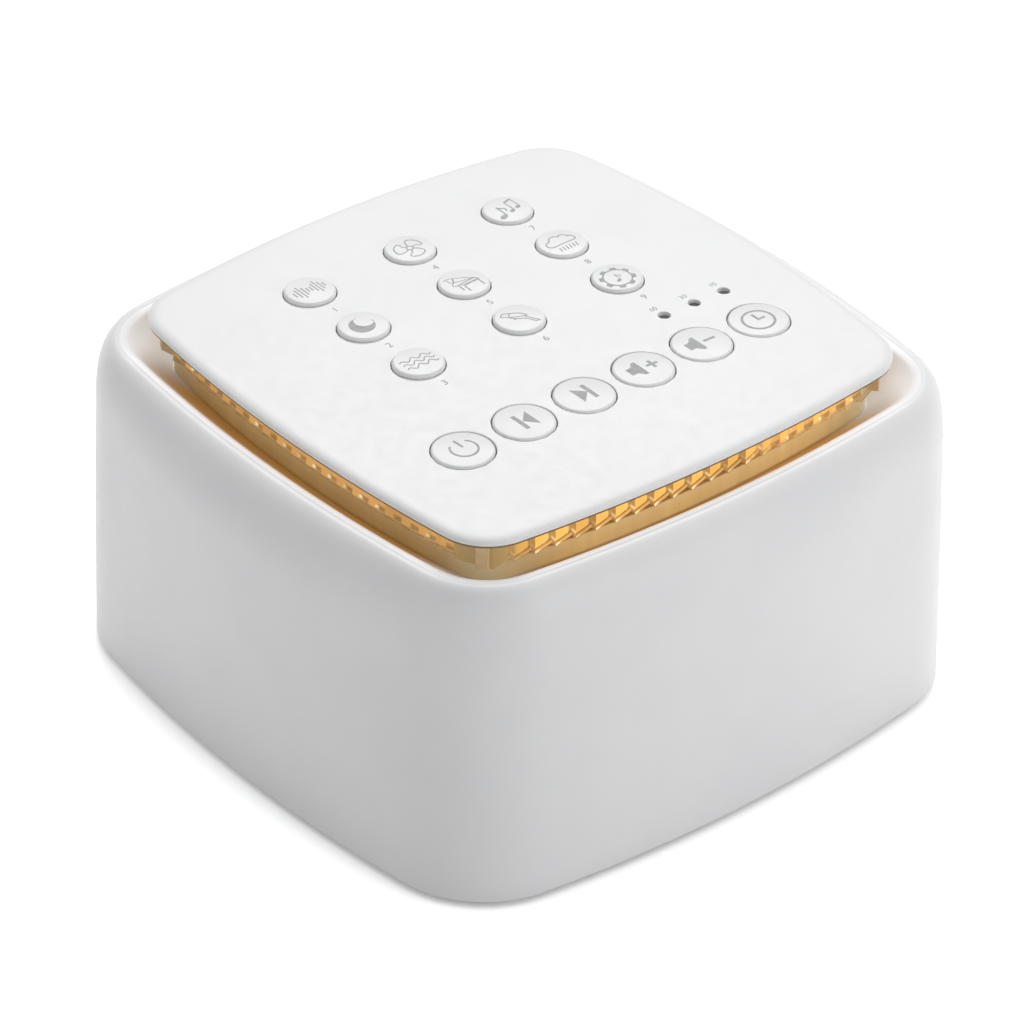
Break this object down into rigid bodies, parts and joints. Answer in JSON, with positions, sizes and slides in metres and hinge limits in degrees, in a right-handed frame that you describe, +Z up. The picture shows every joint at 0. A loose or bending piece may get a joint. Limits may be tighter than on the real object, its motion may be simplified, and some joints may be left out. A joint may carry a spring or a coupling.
{
  "type": "white noise sound machine",
  "caption": "Square white bedside sound machine with a floating button panel over a lit amber light guide, a down-firing speaker and rubber feet.",
  "frame": {"origin": "on the table under the middle of the unit", "axes": "+Z up, +X along the row of six large keys from power to timer, -Y towards the user, +Y towards the power inlet"},
  "size_m": [0.1144, 0.1144, 0.0634],
  "materials": {
    "white_shell": "fine satin",
    "white_panel": "fine satin",
    "key_white": "satin with grey printed symbols",
    "diffuser_white": "satin, lit amber from above",
    "amber_clear": "clear moulded acrylic, lit amber",
    "grey_pipe": "smoked clear",
    "foot_rubber": "matt",
    "screw_steel": "zinc plated",
    "board_green": "solder mask",
    "switch_black": "matt",
    "plunger_black": "matt",
    "light_amber": "lit",
    "light_chip": "unlit",
    "frame_steel": "black lacquer",
    "gasket_foam": "closed-cell foam",
    "magnet_grey": "sintered ferrite",
    "yoke_steel": "zinc plated",
    "surround_rubber": "satin",
    "spider_cloth": "varnished cloth",
    "cone_paper": "black felted paper",
    "coil_copper": "enamelled copper",
    "socket_steel": "nickel plated",
    "ribbon_grey": "flat cable"
  },
  "bodies": {
    "casing": {"outer_shell": "white_shell", "base_plate": "white_shell", "rubber_feet": "foot_rubber", "base_screws": "screw_steel", "inner_housing": "diffuser_white", "housing_screws": "screw_steel", "light_guide": "amber_clear", "top_panel": "white_panel", "panel_screws": "screw_steel", "light_pipes": "grey_pipe", "control_board": "board_green", "board_screws": "screw_steel", "tact_switches": "switch_black", "accent_lights": "light_amber", "timer_lights": "light_chip", "speaker_frame": "frame_steel", "speaker_gasket": "gasket_foam", "speaker_magnet": "magnet_grey", "speaker_yoke": "yoke_steel", "speaker_surround": "surround_rubber", "speaker_spider": "spider_cloth", "speaker_screws": "screw_steel", "main_board": "board_green", "main_board_screws": "screw_steel", "power_socket": "socket_steel", "socket_tongue": "switch_black", "ribbon_cable": "ribbon_grey"},
    "power_key": {"key_power": "key_white", "plunger_power": "plunger_black"},
    "previous_key": {"key_previous": "key_white", "plunger_previous": "plunger_black"},
    "next_key": {"key_next": "key_white", "plunger_next": "plunger_black"},
    "volume_up_key": {"key_volume_up": "key_white", "plunger_volume_up": "plunger_black"},
    "volume_down_key": {"key_volume_down": "key_white", "plunger_volume_down": "plunger_black"},
    "timer_key": {"key_timer": "key_white", "plunger_timer": "plunger_black"},
    "sound_1_key": {"key_sound_1": "key_white", "plunger_sound_1": "plunger_black"},
    "sound_2_key": {"key_sound_2": "key_white", "plunger_sound_2": "plunger_black"},
    "sound_3_key": {"key_sound_3": "key_white", "plunger_sound_3": "plunger_black"},
    "sound_4_key": {"key_sound_4": "key_white", "plunger_sound_4": "plunger_black"},
    "sound_5_key": {"key_sound_5": "key_white", "plunger_sound_5": "plunger_black"},
    "sound_6_key": {"key_sound_6": "key_white", "plunger_sound_6": "plunger_black"},
    "sound_7_key": {"key_sound_7": "key_white", "plunger_sound_7": "plunger_black"},
    "sound_8_key": {"key_sound_8": "key_white", "plunger_sound_8": "plunger_black"},
    "sound_9_key": {"key_sound_9": "key_white", "plunger_sound_9": "plunger_black"},
    "speaker_cone_unit": {"speaker_cone": "cone_paper", "dust_cap": "cone_paper", "voice_coil": "coil_copper"}
  },
  "joints": [
    {"name": "power_press", "type": "slide", "parent": "casing", "child": "power_key", "axis": [0, 0, -1], "range_m": [0, 0.0005], "stiffness_N_per_m": 3000, "springref_m": -0.0002},
    {"name": "previous_press", "type": "slide", "parent": "casing", "child": "previous_key", "axis": [0, 0, -1], "range_m": [0, 0.0005], "stiffness_N_per_m": 3000, "springref_m": -0.0002},
    {"name": "next_press", "type": "slide", "parent": "casing", "child": "next_key", "axis": [0, 0, -1], "range_m": [0, 0.0005], "stiffness_N_per_m": 3000, "springref_m": -0.0002},
    {"name": "volume_up_press", "type": "slide", "parent": "casing", "child": "volume_up_key", "axis": [0, 0, -1], "range_m": [0, 0.0005], "stiffness_N_per_m": 3000, "springref_m": -0.0002},
    {"name": "volume_down_press", "type": "slide", "parent": "casing", "child": "volume_down_key", "axis": [0, 0, -1], "range_m": [0, 0.0005], "stiffness_N_per_m": 3000, "springref_m": -0.0002},
    {"name": "timer_press", "type": "slide", "parent": "casing", "child": "timer_key", "axis": [0, 0, -1], "range_m": [0, 0.0005], "stiffness_N_per_m": 3000, "springref_m": -0.0002},
    {"name": "sound_1_press", "type": "slide", "parent": "casing", "child": "sound_1_key", "axis": [0, 0, -1], "range_m": [0, 0.0005], "stiffness_N_per_m": 3000, "springref_m": -0.0002},
    {"name": "sound_2_press", "type": "slide", "parent": "casing", "child": "sound_2_key", "axis": [0, 0, -1], "range_m": [0, 0.0005], "stiffness_N_per_m": 3000, "springref_m": -0.0002},
    {"name": "sound_3_press", "type": "slide", "parent": "casing", "child": "sound_3_key", "axis": [0, 0, -1], "range_m": [0, 0.0005], "stiffness_N_per_m": 3000, "springref_m": -0.0002},
    {"name": "sound_4_press", "type": "slide", "parent": "casing", "child": "sound_4_key", "axis": [0, 0, -1], "range_m": [0, 0.0005], "stiffness_N_per_m": 3000, "springref_m": -0.0002},
    {"name": "sound_5_press", "type": "slide", "parent": "casing", "child": "sound_5_key", "axis": [0, 0, -1], "range_m": [0, 0.0005], "stiffness_N_per_m": 3000, "springref_m": -0.0002},
    {"name": "sound_6_press", "type": "slide", "parent": "casing", "child": "sound_6_key", "axis": [0, 0, -1], "range_m": [0, 0.0005], "stiffness_N_per_m": 3000, "springref_m": -0.0002},
    {"name": "sound_7_press", "type": "slide", "parent": "casing", "child": "sound_7_key", "axis": [0, 0, -1], "range_m": [0, 0.0005], "stiffness_N_per_m": 3000, "springref_m": -0.0002},
    {"name": "sound_8_press", "type": "slide", "parent": "casing", "child": "sound_8_key", "axis": [0, 0, -1], "range_m": [0, 0.0005], "stiffness_N_per_m": 3000, "springref_m": -0.0002},
    {"name": "sound_9_press", "type": "slide", "parent": "casing", "child": "sound_9_key", "axis": [0, 0, -1], "range_m": [0, 0.0005], "stiffness_N_per_m": 3000, "springref_m": -0.0002},
    {"name": "cone_travel", "type": "slide", "parent": "casing", "child": "speaker_cone_unit", "axis": [0, 0, 1], "range_m": [-0.001, 0.001], "stiffness_N_per_m": 1500, "deforming": ["speaker_surround", "speaker_spider"]}
  ]
}
